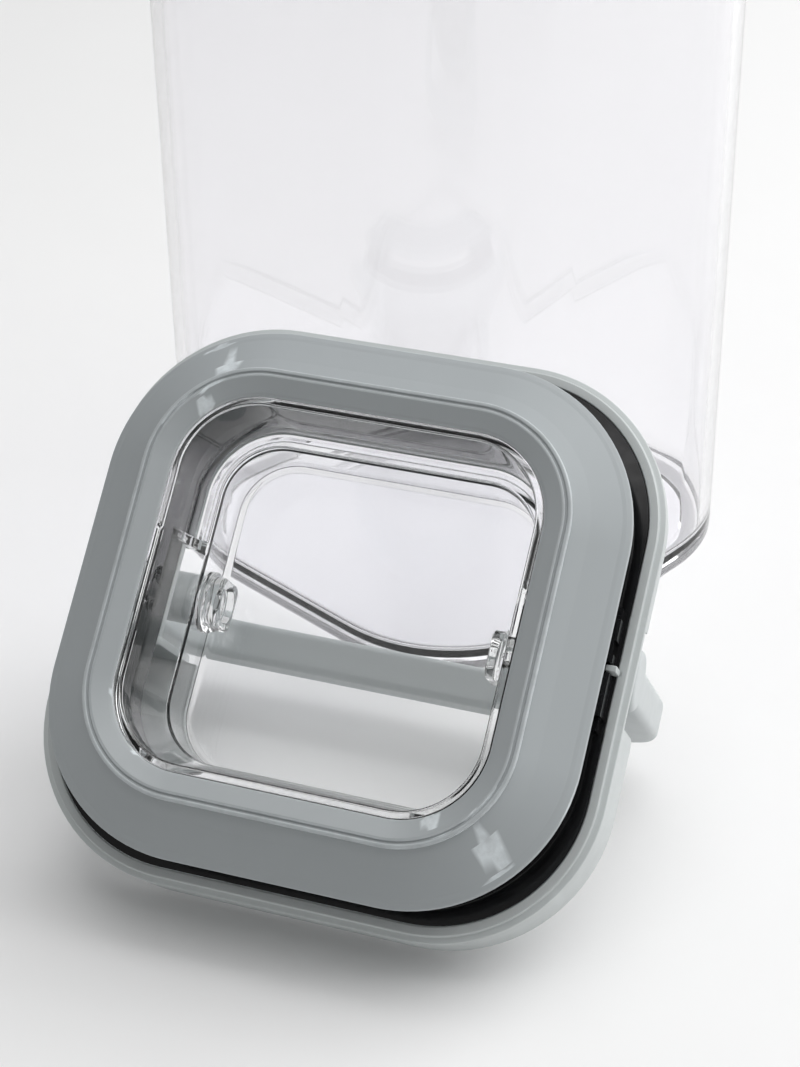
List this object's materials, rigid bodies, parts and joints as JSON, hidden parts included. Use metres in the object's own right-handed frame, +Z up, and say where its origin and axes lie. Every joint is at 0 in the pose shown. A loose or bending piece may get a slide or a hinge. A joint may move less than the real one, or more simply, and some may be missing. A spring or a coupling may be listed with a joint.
{
  "type": "storage canister",
  "caption": "Square clear storage canister with a flip-lock lid: leaning lid with window tub, seal skirt, clamping plate and swing-out locking bail.",
  "frame": {"origin": "centre of the jar's base, on the surface it stands on", "axes": "+Z up along the jar; X and Y square to the jar's sides; the lid leans in front of the corner between +X and -Y"},
  "size_m": [0.174, 0.1991, 0.2],
  "materials": {
    "jar_clear": "clear, polished, slightly violet at the edges",
    "lid_clear": "clear, polished",
    "cap_grey": "fine satin moulded",
    "bail_grey": "satin moulded",
    "plate_grey": "satin moulded",
    "seal_grey": "matte flexible seal",
    "neck_black": "gloss moulded"
  },
  "bodies": {
    "jar": {"jar_body": "jar_clear"},
    "cap": {"cap_shell": "cap_grey", "neck_ring": "neck_black", "guide_block_left": "neck_black", "guide_block_right": "neck_black"},
    "core": {"window_tub": "lid_clear", "lower_plate": "plate_grey", "seal_skirt": "seal_grey", "pivot_plug_left": "lid_clear", "pivot_plug_right": "lid_clear"},
    "bail": {"locking_bail": "bail_grey"}
  },
  "joints": [
    {"name": "lid_lift", "type": "slide", "parent": "jar", "child": "cap", "axis": [0, 0, 1], "range_m": [0, 0.15]},
    {"name": "core_slide", "type": "slide", "parent": "cap", "child": "core", "axis": [-0.2828, 0.6064, -0.7431], "range_m": [0, 0.00225]},
    {"name": "bail_flip", "type": "hinge", "parent": "core", "child": "bail", "pos_m": [0.05982, -0.08924, 0.04349], "axis": [0.9063, 0.4226, 0], "range_deg": [0, 90]}
  ],
  "couplings": [
    {"joint": "core_slide", "follows": "bail_flip", "m_per_rad": 0.0014006}
  ]
}
